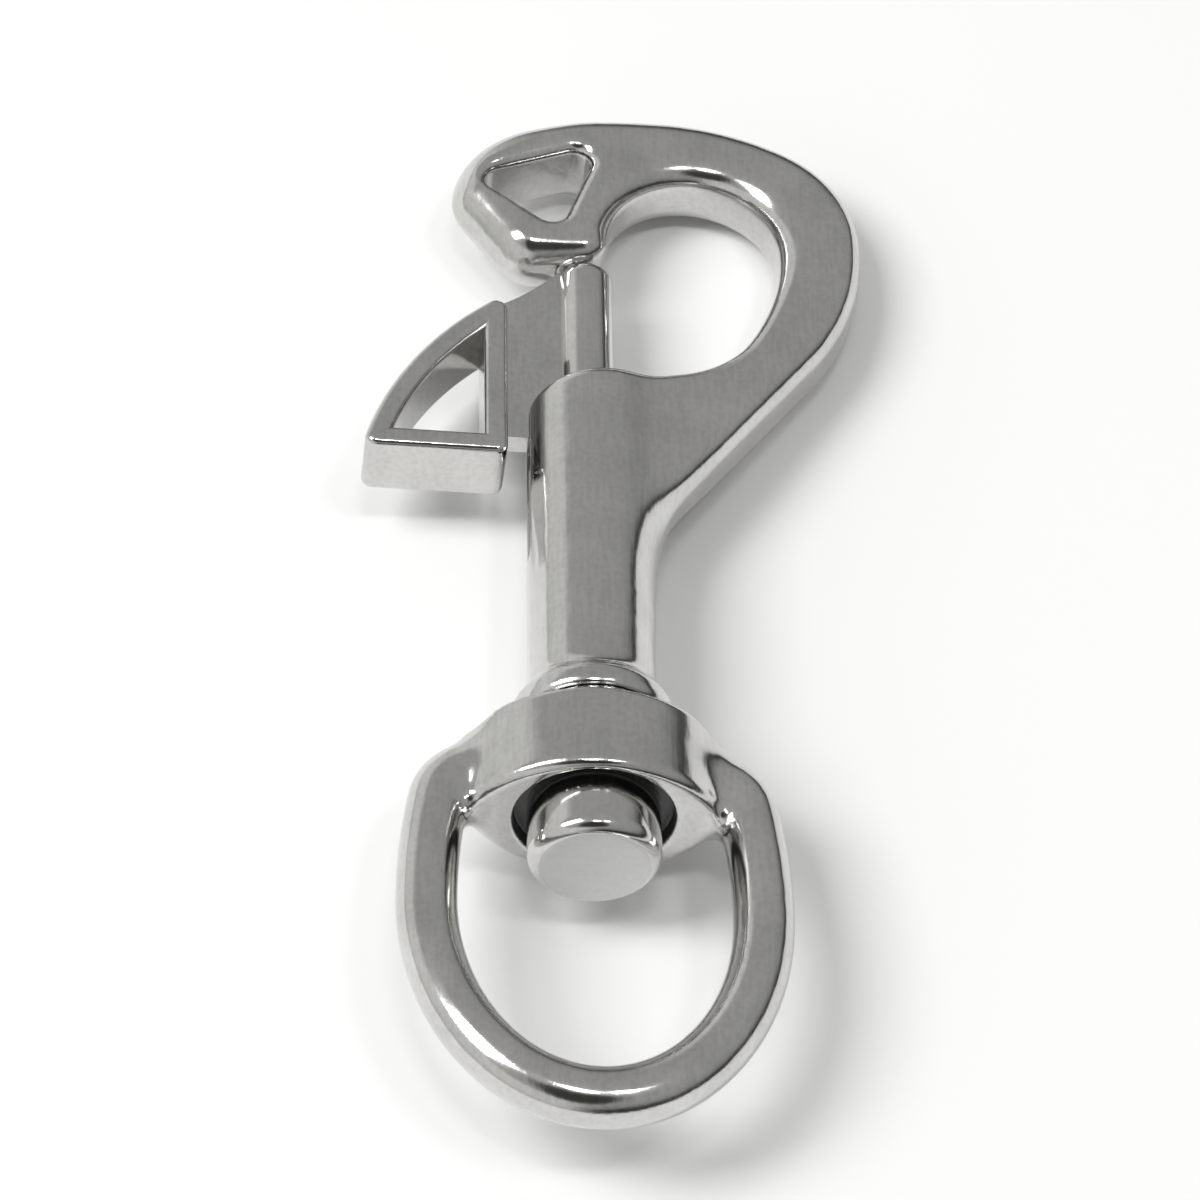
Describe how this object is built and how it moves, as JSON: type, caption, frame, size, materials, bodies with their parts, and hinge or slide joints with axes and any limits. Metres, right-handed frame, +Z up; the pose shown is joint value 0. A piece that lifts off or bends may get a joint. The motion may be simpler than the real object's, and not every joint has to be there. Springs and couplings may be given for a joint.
{
  "type": "swivel-eye snap hook",
  "caption": "Cast stainless snap hook with a swivel eye, a spring bolt worked by a thumb loop, and a windowed nose.",
  "frame": {"origin": "centre of the bounding box's bottom face, in the plane the snap hook lies on", "axes": "+Y along the swivel axis from the eye to the hook's crown, +X towards the hook's mouth, +Z up, across the flat of the hook"},
  "size_m": [0.0486, 0.1188, 0.0166],
  "materials": {
    "cast_stainless": "tumble-polished casting",
    "turned_stainless": "turned and polished",
    "spring_wire": "drawn wire"
  },
  "bodies": {
    "hook": {"hook_body": "cast_stainless", "swivel_spindle": "turned_stainless", "bolt_spring": "spring_wire"},
    "bolt": {"bolt": "turned_stainless", "trigger": "cast_stainless", "cross_pin": "turned_stainless"},
    "eye": {"swivel_eye": "cast_stainless"}
  },
  "joints": [
    {"name": "bolt_slide", "type": "slide", "parent": "hook", "child": "bolt", "axis": [0, -1, 0], "range_m": [0, 0.014], "stiffness_N_per_m": 450, "springref_m": -0.012, "deforming": ["bolt_spring"]},
    {"name": "eye_swivel", "type": "hinge", "parent": "hook", "child": "eye", "pos_m": [-0.00293, -0.02177, 0.0083], "axis": [0, 1, 0], "continuous": true}
  ]
}
